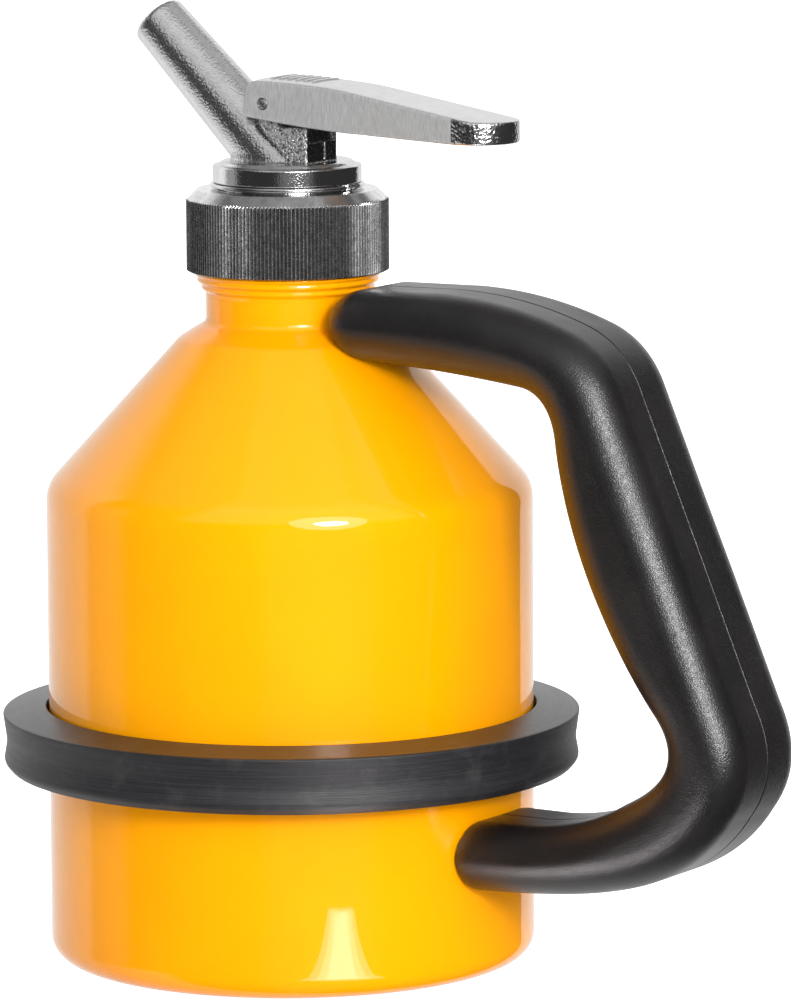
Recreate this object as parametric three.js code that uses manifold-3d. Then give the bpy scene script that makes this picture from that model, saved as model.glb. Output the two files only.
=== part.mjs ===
// One-litre safety can for flammable liquids: a drawn steel can with a rubber bumper ring and a
// moulded carrying handle, closed by a self-closing dispensing tap that a union nut holds down.
// Millimetres, +Z up. The origin is the centre of the base. The spout points to -X, the thumb
// lever and the handle to +X, and the whole can is a mirror image of itself about y = 0.
import * as THREE from "three";
import { mergeVertices } from "three/addons/utils/BufferGeometryUtils.js";
import Module from "manifold-3d";

const wasm = await Module();
wasm.setup();

const SIDES = 40;            // facets of the large turned parts
const SMALL_SIDES = 16;      // facets of the small turned parts
const GAP = 0.3;             // left between a piece and the neighbour that shapes it

// Can body: two drawn cups, lapped under the bumper ring
const BODY_R = 53.5;
const WALL = 1.0;
const BASE_CORNER_R = 5.0;
const BASE_GROOVE = { inner: 36, outer: 42, depth: 0.8 };
const LAP_Z = 48.2;          // lower edge of the upper cup
const LAP_TOP_Z = 54.0;      // upper edge of the lower cup, inside the upper one
const SHOULDER_R = 3.0;
const CONE_CORNER_Z = 104.96; // where the cone's line meets the cylinder's
const CONE_SLOPE = 0.909;    // loss of radius for each millimetre of height
const CONE_TOP_Z = 136.8;
const NECK_R = 18.05;
const NECK_BOTTOM_Z = 141.5;
const NECK_TOP_Z = 147.0;

// Neck collar: the brazed ring that carries the thread
const COLLAR_BORE_R = 15.0;
const COLLAR_FLARE_R = 20.3;
const COLLAR_FLARE_Z = 151.4;
const COLLAR_TOP_Z = 162.5;
const THREAD_R = 19.5;       // plain cylinder that stands for the male thread
const NUT_THREAD_R = 19.95;  // plain bore that stands for the female thread

// Union nut
const NUT = { r: 22.3, bottom: 152.0, top: 170.3, chamfer: 2.4, lip: 167.5, hole: 15.2 };
const NUT_CAVITY_R = 18.7;
const KNURL = { teeth: 40, depth: 0.35 };

// Tap body
const FLANGE = { r: 18.3, bottom: 163.5, top: 167.2 };
const SPIGOT = { r: 12.1, bore: 10.8, bottom: 158.0, roof: 162.8 };
const TAP_NECK_R = 15.0;
const DISC = { r: 16.3, bottom: 171.5, top: 175.2, stepR: 14.6, stepZ: 176.2 };
const RING_GROOVE_R = 14.4;
const SNAP_RING = { inner: 14.55, outer: 16.9, bottom: 170.5, top: 171.4, gapDeg: 20 };
const BLOCK = { halfY: 6.1, endX: 9.1, top: 184.0 };
const POCKET = { depth: 1.2, halfY: 5.0, bottom: 180.5 };
const TONGUE_R = 2.4;

// Spout, cast with the tap body: a cone about a slanting axis in the plane y = 0
const SPOUT = { x: 0, z: 173.7, dirX: -0.723, dirZ: 0.691, length: 46.9, baseR: 7.8, endR: 6.05 };
const SPOUT_BORE_R = 4.2;
const SPOUT_BORE_START = -5.5;

// Valve, on its own axis in front of the tap's axis
const STEM_X = 4.6;
const STEM_R = 1.5;
const CHAMBER = { x: 2.2, r: 6.2, bottom: 164.6, top: 171.0 };
const STEM_HOLE_R = 1.7;
const GLAND = { r: 2.9, bottom: 174.5, wall: 1.1 };
const SEAT = { outer: 5.4, bore: 4.0, bottom: 162.5, top: 164.5 };
const SPRING = { bottom: 178.8, top: 185.5, meanR: 2.2, wireR: 0.3, turns: 5 };
const HEAD = { r: 2.8, bottom: 185.6, top: 188.0 };

// Lever: a cast channel over the block, on a cross pin
const PIN = { x: -1.0, z: 189.0, r: 1.2, halfY: 8.3 };
const PIN_HOLE_R = 1.35;
const LEVER = { rearX: -6.2, tipX: 49.5, tipLength: 8.3, rearHalfY: 8.2, tipHalfY: 8.9, wall: 1.6 };
const LEVER_LIP = 1.7;       // thickness of the top

// Flame arrester that hangs into the can
const CAGE = { inner: 12.2, outer: 13.0, bottom: 96.0, top: 163.2, rows: 3, columns: 6, holeR: 3.6 };
const GAUZE = { inner: 11.5, outer: 12.0, bottom: 99.3, top: 157.5 };

// Bumper ring
const BUMPER = { outer: 63.5, inner: 53.85, bottom: 42.5, top: 54.6, lipZ: 56.2, lipR: 54.8 };

// Handle
const HANDLE_HALF_Y = 16.5;
const HANDLE_ROUND = 6.2;
const HANDLE_SEAM = 0.05;
const ROD_R = 4.0;
const ROD_BORE_R = 4.2;
const UPPER_PAD = { x: [16.5, 24.2], halfY: 6, z: [138.6, 147.2] };
const LOWER_PAD = { x: [50.0, 57.6], halfY: 6, z: [23.6, 33.4] };

// ---------------------------------------------------------------- solids

function solidOf(geometry) {
  geometry.deleteAttribute("normal");
  geometry.deleteAttribute("uv");
  const merged = mergeVertices(geometry, 1e-4);
  const index = merged.index.array;
  const kept = [];
  for (let i = 0; i < index.length; i += 3) {
    const [a, b, c] = [index[i], index[i + 1], index[i + 2]];
    if (a !== b && b !== c && c !== a) kept.push(a, b, c);
  }
  const mesh = new wasm.Mesh({
    numProp: 3,
    vertProperties: new Float32Array(merged.attributes.position.array),
    triVerts: new Uint32Array(kept),
  });
  return new wasm.Manifold(mesh);
}

function geometryOf(solid) {
  const { vertProperties, triVerts } = solid.getMesh();
  const geometry = new THREE.BufferGeometry();
  geometry.setAttribute("position", new THREE.BufferAttribute(vertProperties, 3));
  geometry.setIndex(new THREE.BufferAttribute(triVerts, 1));
  geometry.computeVertexNormals();
  return geometry;
}

// Turned solid: [radius, z] points, anticlockwise with the radius to the right and z up
function turned(profile, sides = SIDES) {
  const points = profile.map(([r, z]) => new THREE.Vector2(r, z));
  return solidOf(new THREE.LatheGeometry(points, sides).rotateX(Math.PI / 2));
}

function ring(inner, outer, bottom, top, sides = SIDES) {
  return turned([[inner, bottom], [outer, bottom], [outer, top], [inner, top], [inner, bottom]], sides);
}

function rod(radius, bottom, top, sides = SMALL_SIDES) {
  return turned([[0, bottom], [radius, bottom], [radius, top], [0, top]], sides);
}

function box([x0, x1], [y0, y1], [z0, z1]) {
  const geometry = new THREE.BoxGeometry(x1 - x0, y1 - y0, z1 - z0);
  return solidOf(geometry.translate((x0 + x1) / 2, (y0 + y1) / 2, (z0 + z1) / 2));
}

// Round bar along Y, centred on y = 0
function crossBar(x, z, radius, halfY) {
  const geometry = new THREE.CylinderGeometry(radius, radius, 2 * halfY, SMALL_SIDES);
  return solidOf(geometry.translate(x, 0, z));
}

// Plate whose outline lies in the plane y = 0, from y = -halfY to y = halfY
function plate(shape, halfY, options = {}) {
  const geometry = new THREE.ExtrudeGeometry(shape, { depth: 2 * halfY, bevelEnabled: false, ...options });
  return solidOf(geometry.rotateX(Math.PI / 2).translate(0, halfY, 0));
}

function arc(centreR, centreZ, radius, fromDeg, toDeg, steps) {
  const points = [];
  for (let i = 0; i <= steps; i++) {
    const angle = THREE.MathUtils.degToRad(fromDeg + ((toDeg - fromDeg) * i) / steps);
    points.push([centreR + radius * Math.cos(angle), centreZ + radius * Math.sin(angle)]);
  }
  return points;
}

const coneR = (z) => BODY_R - CONE_SLOPE * (z - CONE_CORNER_Z);

// ---------------------------------------------------------------- can body

function lowerShell() {
  const { inner, outer, depth } = BASE_GROOVE;
  const joggleR = BODY_R - WALL - 0.2;
  const corner = BODY_R - BASE_CORNER_R;
  const outside = [
    [0, 0], [inner, 0], [inner + 1, depth], [outer - 1, depth], [outer, 0],
    ...arc(corner, BASE_CORNER_R, BASE_CORNER_R, -90, 0, 4),
    [BODY_R, LAP_Z - 1.2], [joggleR, LAP_Z - 0.3], [joggleR, LAP_TOP_Z],
  ];
  const inside = [
    [joggleR - WALL, LAP_TOP_Z], [joggleR - WALL, LAP_Z - 1.2], [BODY_R - WALL, LAP_Z - 2.4],
    ...arc(corner, BASE_CORNER_R, BASE_CORNER_R - WALL, 0, -90, 3),
    [outer + 0.4, WALL], [outer - 0.6, WALL + depth], [inner + 0.6, WALL + depth], [inner - 0.4, WALL],
    [0, WALL],
  ];
  return turned([...outside, ...inside]);
}

// Outside of the upper cup from its lower edge to the top of the neck, moved out by `out`
function upperOutline(out) {
  const turn = THREE.MathUtils.radToDeg(Math.atan(CONE_SLOPE));
  const start = CONE_CORNER_Z - SHOULDER_R * Math.tan(THREE.MathUtils.degToRad(turn / 2));
  return [
    ...arc(BODY_R - SHOULDER_R + out, start, SHOULDER_R, 0, turn, 3),
    [coneR(CONE_TOP_Z) + out, CONE_TOP_Z],
    [22.1 + out, 138.6], [20.2 + out, 139.7], [18.6 + out, 140.4], [NECK_R + out, NECK_BOTTOM_Z],
    [NECK_R + out, NECK_TOP_Z],
  ];
}

function upperShell() {
  const inside = upperOutline(-WALL).reverse();
  return turned([[BODY_R, LAP_Z], ...upperOutline(0), ...inside, [BODY_R - WALL, LAP_Z], [BODY_R, LAP_Z]]);
}

function neckCollar() {
  const spigotR = NECK_R - WALL - 0.1;
  return turned([
    [COLLAR_BORE_R, NECK_TOP_Z - 4], [spigotR, NECK_TOP_Z - 4], [spigotR, NECK_TOP_Z + 0.1],
    [NECK_R, NECK_TOP_Z + 0.1], [COLLAR_FLARE_R, 150.2], [COLLAR_FLARE_R, COLLAR_FLARE_Z],
    [THREAD_R, COLLAR_FLARE_Z + 0.3], [THREAD_R, COLLAR_TOP_Z - 0.5], [THREAD_R - 0.5, COLLAR_TOP_Z],
    [COLLAR_BORE_R, COLLAR_TOP_Z], [COLLAR_BORE_R, NECK_TOP_Z - 4],
  ]);
}

function bumperRing() {
  const { outer, inner, bottom, top, lipZ, lipR } = BUMPER;
  return turned([
    [inner, bottom + 0.6], [inner + 0.6, bottom], [outer - 2.2, bottom], [outer - 0.6, bottom + 0.7],
    [outer, bottom + 2.3], [outer - 0.5, (bottom + top) / 2], [outer, top - 0.5], [outer - 0.5, top],
    [lipR, lipZ], [inner, lipZ - 3.4], [inner, bottom + 0.6],
  ]);
}

// ---------------------------------------------------------------- handle

// Everything that the handle's ends have to fit round, `out` larger than it is
function bodyClearance(out) {
  return turned([
    [0, 0], [BODY_R + out, 0], ...upperOutline(out).slice(0, -1), [NECK_R + out, NECK_TOP_Z - 0.6],
    [COLLAR_FLARE_R + out, 149.6], [COLLAR_FLARE_R + out, 160], [0, 160],
  ]);
}

function handleOutline() {
  const shape = new THREE.Shape();
  shape.moveTo(16.8, 150.0);
  shape.lineTo(44.0, 150.4);
  shape.quadraticCurveTo(61.2, 150.0, 76.2, 144.0);
  shape.quadraticCurveTo(85.2, 140.4, 89.2, 131.0);
  shape.lineTo(117.1, 65.3);
  shape.quadraticCurveTo(123.8, 52.0, 115.8, 41.4);
  shape.quadraticCurveTo(107.4, 28.2, 88.0, 24.2);
  shape.quadraticCurveTo(74.0, 21.0, 46.8, 20.8);
  shape.lineTo(46.8, 36.2);
  shape.lineTo(66.0, 36.2);
  shape.quadraticCurveTo(80.0, 36.9, 90.6, 43.4);
  shape.quadraticCurveTo(107.4, 51.8, 98.5, 63.0);
  const palmSwell = [[87.6, 78.4], [80.2, 95.2], [75.6, 107.8], [73.8, 119.6]];
  shape.splineThru(palmSwell.map(([x, z]) => new THREE.Vector2(x, z)));
  shape.quadraticCurveTo(72.8, 129.6, 65.2, 131.0);
  shape.quadraticCurveTo(46.0, 133.7, 16.8, 135.6);
  shape.closePath();
  return shape;
}

const point = ([x, z]) => new THREE.Vector3(x, 0, z);

function rodPath() {
  return new THREE.CatmullRomCurve3([
    [24.5, 143.1], [36, 143.1], [50, 142.6], [63, 140.8], [74, 136.2], [80.6, 127], [86, 114.6], [104.4, 71.5],
    [109.8, 57.5], [107.8, 46.5], [99.5, 37.8], [87, 32.4], [74, 29.2], [66, 28.5], [57.95, 28.5],
  ].map(point), false, "centripetal");
}

function tubeAlong(path, radius, steps, sides) {
  const section = new THREE.Shape();
  for (let i = 0; i < sides; i++) {
    const angle = (2 * Math.PI * i) / sides;
    const [x, y] = [radius * Math.cos(angle), radius * Math.sin(angle)];
    if (i === 0) section.moveTo(x, y);
    else section.lineTo(x, y);
  }
  section.closePath();
  return solidOf(new THREE.ExtrudeGeometry(section, { steps, extrudePath: path }));
}

const handleRod = (radius) => tubeAlong(rodPath(), radius, 32, 8);

// Weld pad, shaped to the can that it is welded to
function handlePad(pad, out) {
  const block = box(
    [pad.x[0], pad.x[1] + out], [-pad.halfY - out, pad.halfY + out], [pad.z[0] - out, pad.z[1] + out],
  );
  return block.subtract(bodyClearance(out / 2 + 0.1));
}

// One of the two mouldings; side is -1 for the half at -Y and +1 for the half at +Y
function handleHalf(side) {
  const depth = 2 * (HANDLE_HALF_Y - HANDLE_ROUND);
  const bevel = { bevelEnabled: true, bevelSize: HANDLE_ROUND, bevelThickness: HANDLE_ROUND };
  const outline = { depth, ...bevel, bevelOffset: -HANDLE_ROUND, bevelSegments: 2, curveSegments: 4 };
  const whole = plate(handleOutline(), HANDLE_HALF_Y - HANDLE_ROUND, outline);
  const range = side < 0 ? [-20, -HANDLE_SEAM] : [HANDLE_SEAM, 20];
  return whole
    .subtract(bodyClearance(GAP))
    .subtract(handleRod(ROD_BORE_R))
    .subtract(handlePad(UPPER_PAD, GAP))
    .subtract(handlePad(LOWER_PAD, GAP))
    .intersect(box([0, 130], range, [0, 160]));
}

// ---------------------------------------------------------------- tap

// A point `along` the spout's axis from its origin, and `across` it towards +X and +Z
function onSpout(along, across = 0) {
  return [
    SPOUT.x + SPOUT.dirX * along + SPOUT.dirZ * across,
    SPOUT.z + SPOUT.dirZ * along - SPOUT.dirX * across,
  ];
}

function alongSpout(solid) {
  const tilt = THREE.MathUtils.radToDeg(Math.atan2(SPOUT.dirX, SPOUT.dirZ));
  return solid.rotate([0, tilt, 0]).translate([SPOUT.x, 0, SPOUT.z]);
}

function tapBody() {
  const hub = turned([
    [0, SPIGOT.roof], [SPIGOT.bore, SPIGOT.roof], [SPIGOT.bore, SPIGOT.bottom],
    [SPIGOT.r, SPIGOT.bottom], [SPIGOT.r, FLANGE.bottom], [FLANGE.r, FLANGE.bottom],
    [FLANGE.r, FLANGE.top], [TAP_NECK_R, FLANGE.top], [TAP_NECK_R, SNAP_RING.bottom],
    [RING_GROOVE_R, SNAP_RING.bottom], [RING_GROOVE_R, DISC.bottom], [DISC.r - 0.4, DISC.bottom],
    [DISC.r, DISC.bottom + 0.4], [DISC.r, DISC.top - 0.6], [DISC.r - 0.6, DISC.top],
    [DISC.stepR, DISC.top + 0.4], [DISC.stepR - 0.5, DISC.stepZ], [0, DISC.stepZ],
  ], 32);
  const spout = alongSpout(turned([
    [0, -1], [SPOUT.baseR, -1], [SPOUT.endR, SPOUT.length - 0.8], [SPOUT.endR - 0.7, SPOUT.length],
    [0, SPOUT.length],
  ], 20)).subtract(box([-60, 60], [-20, 20], [100, DISC.stepZ - 1]));
  const block = box([-8, BLOCK.endX], [-BLOCK.halfY, BLOCK.halfY], [DISC.stepZ - 1, BLOCK.top]);
  const tongue = box([PIN.x - TONGUE_R, PIN.x + TONGUE_R], [-BLOCK.halfY, BLOCK.halfY], [BLOCK.top - 1, PIN.z])
    .add(crossBar(PIN.x, PIN.z, TONGUE_R, BLOCK.halfY));
  const gland = rod(GLAND.r, GLAND.bottom, 200).translate([STEM_X, 0, 0]);
  const glandWall = rod(GLAND.r + GLAND.wall, CHAMBER.top - 0.5, 200).translate([STEM_X, 0, 0]);
  const boreLength = SPOUT.length + 5 - SPOUT_BORE_START;
  const bore = alongSpout(rod(SPOUT_BORE_R, 0, boreLength, 20).translate([0, 0, SPOUT_BORE_START]));
  return hub
    .add(spout)
    .add(block)
    .add(tongue)
    .subtract(bore.subtract(glandWall))
    .subtract(rod(CHAMBER.r, CHAMBER.bottom, CHAMBER.top).translate([CHAMBER.x, 0, 0]))
    .subtract(rod(SEAT.outer + 0.2, SPIGOT.roof - 1, SEAT.top + 0.05).translate([STEM_X, 0, 0]))
    .subtract(rod(SEAT.bore + 0.3, SEAT.top - 1, CHAMBER.bottom + 1).translate([STEM_X, 0, 0]))
    .subtract(rod(STEM_HOLE_R, CHAMBER.top - 1, GLAND.bottom + 1).translate([STEM_X, 0, 0]))
    .subtract(gland)
    .subtract(crossBar(PIN.x, PIN.z, PIN_HOLE_R, 20))
    .subtract(box(
      [BLOCK.endX - POCKET.depth, BLOCK.endX + 1], [-POCKET.halfY, POCKET.halfY], [POCKET.bottom, BLOCK.top + 1],
    ));
}

function snapRing() {
  const halfGap = SNAP_RING.outer * Math.sin(THREE.MathUtils.degToRad(SNAP_RING.gapDeg / 2));
  const { inner, outer, bottom, top } = SNAP_RING;
  return ring(inner, outer, bottom + 0.1, top).subtract(box([0, 30], [-halfGap, halfGap], [160, 180]));
}

function unionNut() {
  const { r, bottom, top, chamfer, lip, hole } = NUT;
  const blank = turned([
    [NUT_THREAD_R, bottom], [NUT_THREAD_R + 0.3, bottom], [r, bottom + 2], [r, top - chamfer],
    [r - chamfer, top], [hole, top], [hole, lip], [NUT_CAVITY_R, lip],
    [NUT_CAVITY_R, FLANGE.bottom - 0.5], [NUT_THREAD_R, FLANGE.bottom - 1.2], [NUT_THREAD_R, bottom],
  ]);
  const knurl = new THREE.Shape();
  for (let i = 0; i < 2 * KNURL.teeth; i++) {
    const angle = (Math.PI * i) / KNURL.teeth;
    const radius = i % 2 ? r : r - KNURL.depth;
    const [x, y] = [radius * Math.cos(angle), radius * Math.sin(angle)];
    if (i === 0) knurl.moveTo(x, y);
    else knurl.lineTo(x, y);
  }
  knurl.closePath();
  const teeth = new THREE.ExtrudeGeometry(knurl, { depth: top - bottom + 2, bevelEnabled: false });
  return blank.intersect(solidOf(teeth.translate(0, 0, bottom - 1)));
}

// ---------------------------------------------------------------- valve

function coilSpring() {
  const { bottom, top, meanR, wireR, turns } = SPRING;
  const steps = 10 * turns;
  const points = [];
  for (let i = 0; i <= steps; i++) {
    const angle = (2 * Math.PI * turns * i) / steps;
    const z = bottom + wireR + ((top - bottom - 2 * wireR) * i) / steps;
    points.push(new THREE.Vector3(meanR * Math.cos(angle), meanR * Math.sin(angle), z));
  }
  return tubeAlong(new THREE.CatmullRomCurve3(points), wireR, steps, 5);
}

function valveStem() {
  const { r, bottom, top } = HEAD;
  return turned([
    [0, 157.6], [STEM_R, 157.6], [STEM_R, SEAT.bottom + 0.05], [2.4, SEAT.bottom + 0.05], [2.4, 163.6],
    [STEM_R, 163.6], [STEM_R, bottom], [r, bottom], [r, bottom + 1.2], [r - 1.0, top - 0.35], [0.8, top],
    [0, top],
  ], SMALL_SIDES);
}

function hexNut(across, bore, bottom, top) {
  const outer = turned([[0, bottom], [across / Math.sqrt(3), bottom], [across / Math.sqrt(3), top], [0, top]], 6);
  return outer.subtract(rod(bore, bottom - 1, top + 1));
}

// ---------------------------------------------------------------- lever

function leverSide(drop) {
  const shape = new THREE.Shape();
  shape.moveTo(-5.0, 185.9);
  shape.quadraticCurveTo(8, 184.2, 20.1, 183.5);
  shape.lineTo(47.4, 182.3);
  shape.lineTo(60, 182.3);
  shape.lineTo(60, 186.7 - drop);
  shape.lineTo(51.9, 187.5 - drop);
  shape.quadraticCurveTo(38, 189.8 - drop, 20.1, 192.8 - drop);
  shape.quadraticCurveTo(10, 194.1 - drop, -4.4, 194.2 - drop);
  shape.lineTo(LEVER.rearX, 187.4);
  shape.closePath();
  return shape;
}

// Outline seen from above, `inset` inside the true one
function leverPlan(inset) {
  const { rearX, tipX, tipLength, rearHalfY, tipHalfY } = LEVER;
  const shape = new THREE.Shape();
  shape.moveTo(rearX - 1, -rearHalfY + inset);
  shape.lineTo(tipX, -tipHalfY + inset);
  shape.absellipse(tipX, 0, tipLength - inset, tipHalfY - inset, -Math.PI / 2, Math.PI / 2);
  shape.lineTo(rearX - 1, rearHalfY - inset);
  shape.closePath();
  const geometry = new THREE.ExtrudeGeometry(shape, { depth: 30, bevelEnabled: false, curveSegments: 12 });
  return solidOf(geometry.translate(0, 0, 175));
}

function lever() {
  const outer = plate(leverSide(0), 12).intersect(leverPlan(0));
  const under = box([-20, 80], [-20, 20], [170, 184.5]);
  const hollow = plate(leverSide(LEVER_LIP), 12)
    .add(under)
    .intersect(leverPlan(LEVER.wall));
  const spoutRoom = box([-20, -4], [-LEVER.rearHalfY + LEVER.wall, LEVER.rearHalfY - LEVER.wall], [180, 191.8]);
  const presser = box([STEM_X - 1.2, STEM_X + 1.2], [-2.6, 2.6], [HEAD.top + 0.35, 192.6]);
  return outer
    .subtract(hollow)
    .subtract(spoutRoom)
    .add(presser)
    .subtract(crossBar(PIN.x, PIN.z, PIN.r + 0.05, 20));
}

// ---------------------------------------------------------------- flame arrester

function arresterCage() {
  const { inner, outer, bottom, top, rows, columns, holeR } = CAGE;
  let cage = ring(inner, outer, bottom, top, 24);
  for (let row = 0; row < rows; row++) {
    for (let column = 0; column < columns / 2; column++) {
      const turn = ((column + (row % 2) / 2) * 360) / columns;
      const hole = new THREE.CylinderGeometry(holeR, holeR, 60, 6);
      const z = bottom + 10 + (row * (GAUZE.top - bottom - 16)) / (rows - 1);
      cage = cage.subtract(solidOf(hole).rotate([0, 0, turn + 90 / columns]).translate([0, 0, z]));
    }
  }
  return cage;
}

function arresterEndCap() {
  const { bottom } = CAGE;
  const rimR = CAGE.inner - 0.1;
  return turned([
    [0, bottom], [rimR, bottom], [rimR, bottom + 3], [rimR - 0.8, bottom + 3], [rimR - 0.8, bottom + 0.8],
    [0, bottom + 0.8],
  ], 24);
}

// ---------------------------------------------------------------- assembly

const MATERIALS = {
  paint: { color: 0xffbe00, roughness: 0.25, metalness: 0.0 },
  rubber: { color: 0x2b2c2e, roughness: 0.7, metalness: 0.0 },
  plastic: { color: 0x1b1a1c, roughness: 0.5, metalness: 0.0 },
  steel: { color: 0x9a9a9c, roughness: 0.4, metalness: 1.0 },
  plated: { color: 0xd8d9db, roughness: 0.18, metalness: 1.0 },
  cast: { color: 0xb9babb, roughness: 0.38, metalness: 1.0 },
  nickel: { color: 0x77787a, roughness: 0.3, metalness: 1.0 },
  gauze: { color: 0xb0a070, roughness: 0.5, metalness: 1.0 },
  seal: { color: 0xf2f2ee, roughness: 0.5, metalness: 0.0 },
  elastomer: { color: 0x202020, roughness: 0.6, metalness: 0.0 },
};

const can = new THREE.Group();

function addPiece(name, solid, material, group = can) {
  const mesh = new THREE.Mesh(geometryOf(solid), new THREE.MeshStandardMaterial(MATERIALS[material]));
  mesh.name = name;
  group.add(mesh);
}

addPiece("lower_shell", lowerShell(), "paint");
addPiece("upper_shell", upperShell(), "paint");
addPiece("neck_collar", neckCollar(), "paint");
addPiece("bumper_ring", bumperRing(), "rubber");
addPiece("handle_rod", handleRod(ROD_R), "steel");
addPiece("upper_handle_pad", handlePad(UPPER_PAD, 0), "steel");
addPiece("lower_handle_pad", handlePad(LOWER_PAD, 0), "steel");
addPiece("handle_left_half", handleHalf(-1), "plastic");
addPiece("handle_right_half", handleHalf(1), "plastic");

addPiece("tap_body", tapBody(), "cast");
addPiece("snap_ring", snapRing(), "plated");
addPiece("neck_gasket", ring(15.5, FLANGE.r, COLLAR_TOP_Z, FLANGE.bottom), "elastomer");
addPiece("union_nut", unionNut(), "nickel");
addPiece("arrester_cage", arresterCage(), "steel");
addPiece("arrester_gauze", ring(GAUZE.inner, GAUZE.outer, GAUZE.bottom, GAUZE.top, 24), "gauze");
addPiece("arrester_end_cap", arresterEndCap(), "steel");

addPiece("lever", lever(), "cast");
addPiece("lever_pin", crossBar(PIN.x, PIN.z, PIN.r, PIN.halfY), "steel");

// The valve's pieces all stand on the stem's axis
const valve = new THREE.Group();
valve.position.set(STEM_X, 0, 0);
can.add(valve);
addPiece("valve_stem", valveStem(), "steel", valve);
addPiece("valve_plate", ring(STEM_R + 0.1, 5.6, 160.4, 161.5, SMALL_SIDES), "steel", valve);
addPiece("plate_seal", ring(STEM_R + 0.1, 5.2, 161.5, SEAT.bottom, SMALL_SIDES), "elastomer", valve);
addPiece("plate_nut", hexNut(5.0, STEM_R + 0.1, 158.4, 160.4), "steel", valve);
addPiece("valve_seat", ring(SEAT.bore, SEAT.outer, SEAT.bottom, SEAT.top, SMALL_SIDES), "seal", valve);
addPiece("stem_seal", turned([...arc(2.22, 175.3, 0.62, 0, 360, 8)], SMALL_SIDES), "elastomer", valve);
addPiece("gland_bush", ring(STEM_R + 0.1, GLAND.r - 0.1, 176.2, 178.6, SMALL_SIDES), "seal", valve);
addPiece("valve_spring", coilSpring(), "steel", valve);

export default can;
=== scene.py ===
"""Looks of the one-litre safety can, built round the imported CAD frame.

Blender works in metres. The tables below are in millimetres in the same frame as the CAD (origin at
the centre of the base, +Z up, spout to -X, handle to +X), and make_mesh() turns them into metres.
"""
from math import acos, atan2, ceil, cos, pi, radians, sin, sqrt, tan

import bmesh
import bpy
import numpy as np
from mathutils import Matrix, Vector


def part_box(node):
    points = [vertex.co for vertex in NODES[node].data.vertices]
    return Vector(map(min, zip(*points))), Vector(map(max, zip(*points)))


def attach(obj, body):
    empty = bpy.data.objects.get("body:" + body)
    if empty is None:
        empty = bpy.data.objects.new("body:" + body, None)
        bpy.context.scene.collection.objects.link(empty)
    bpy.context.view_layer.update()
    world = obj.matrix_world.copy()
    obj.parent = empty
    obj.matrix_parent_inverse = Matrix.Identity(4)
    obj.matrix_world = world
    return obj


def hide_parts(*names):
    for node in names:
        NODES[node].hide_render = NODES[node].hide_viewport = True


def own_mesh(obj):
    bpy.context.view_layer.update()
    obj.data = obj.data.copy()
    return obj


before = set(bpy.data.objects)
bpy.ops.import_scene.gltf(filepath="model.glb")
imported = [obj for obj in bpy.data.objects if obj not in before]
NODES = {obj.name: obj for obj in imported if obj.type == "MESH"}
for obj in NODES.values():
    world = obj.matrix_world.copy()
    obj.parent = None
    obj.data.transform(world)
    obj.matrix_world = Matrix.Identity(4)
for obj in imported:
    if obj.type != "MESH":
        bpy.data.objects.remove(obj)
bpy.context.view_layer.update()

MM = 0.001


def span(node):
    """Lowest and highest corner of a CAD node in millimetres."""
    low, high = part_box(node)
    return np.array(low) / MM, np.array(high) / MM


NUT_R = span("union_nut")[1][0]


# ---- Camera: 33 degrees round from the plane of the handle, 8.4 degrees above the horizon

CAMERA_TURN = radians(33.0)
CAMERA_DISTANCE = 1.5
CAMERA_HEIGHT = 0.3229
CAMERA_PITCH = 0.146924
CAMERA_YAW = 0.015487
CAMERA_ROLL = -0.005794
CAMERA_LENS = 248.24


def make_camera():
    camera = bpy.data.objects.new("camera", bpy.data.cameras.new("camera"))
    bpy.context.scene.collection.objects.link(camera)
    pitch_cos, pitch_sin = cos(CAMERA_PITCH), sin(CAMERA_PITCH)
    yaw_cos, yaw_sin = cos(CAMERA_YAW), sin(CAMERA_YAW)
    forward = Vector((yaw_sin * pitch_cos, yaw_cos * pitch_cos, -pitch_sin))
    level = Vector((yaw_cos, -yaw_sin, 0))
    upward = level.cross(forward)
    right = level * cos(CAMERA_ROLL) + upward * sin(CAMERA_ROLL)
    up = upward * cos(CAMERA_ROLL) - level * sin(CAMERA_ROLL)
    axes = Matrix((right, up, -forward)).transposed()
    turn = Matrix.Rotation(CAMERA_TURN, 3, "Z")
    place = turn @ Vector((0, -CAMERA_DISTANCE, CAMERA_HEIGHT))
    camera.matrix_world = Matrix.Translation(place) @ (turn @ axes).to_4x4()
    camera.data.sensor_width = 36
    camera.data.lens = CAMERA_LENS
    camera.data.clip_start = 0.05
    camera.data.clip_end = 40
    bpy.context.scene.camera = camera


# ---- Mesh tools


def make_mesh(name, points, faces, crease=radians(35)):
    """Smooth-shaded object from points in millimetres, sharp only where faces meet above crease."""
    mesh = bpy.data.meshes.new(name)
    mesh.from_pydata((np.asarray(points, float) * MM).tolist(), [], [list(f) for f in faces])
    mesh.validate()
    mesh.shade_smooth()
    mesh.set_sharp_from_angle(angle=crease)
    piece = bpy.data.objects.new(name, mesh)
    bpy.context.scene.collection.objects.link(piece)
    return piece


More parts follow.
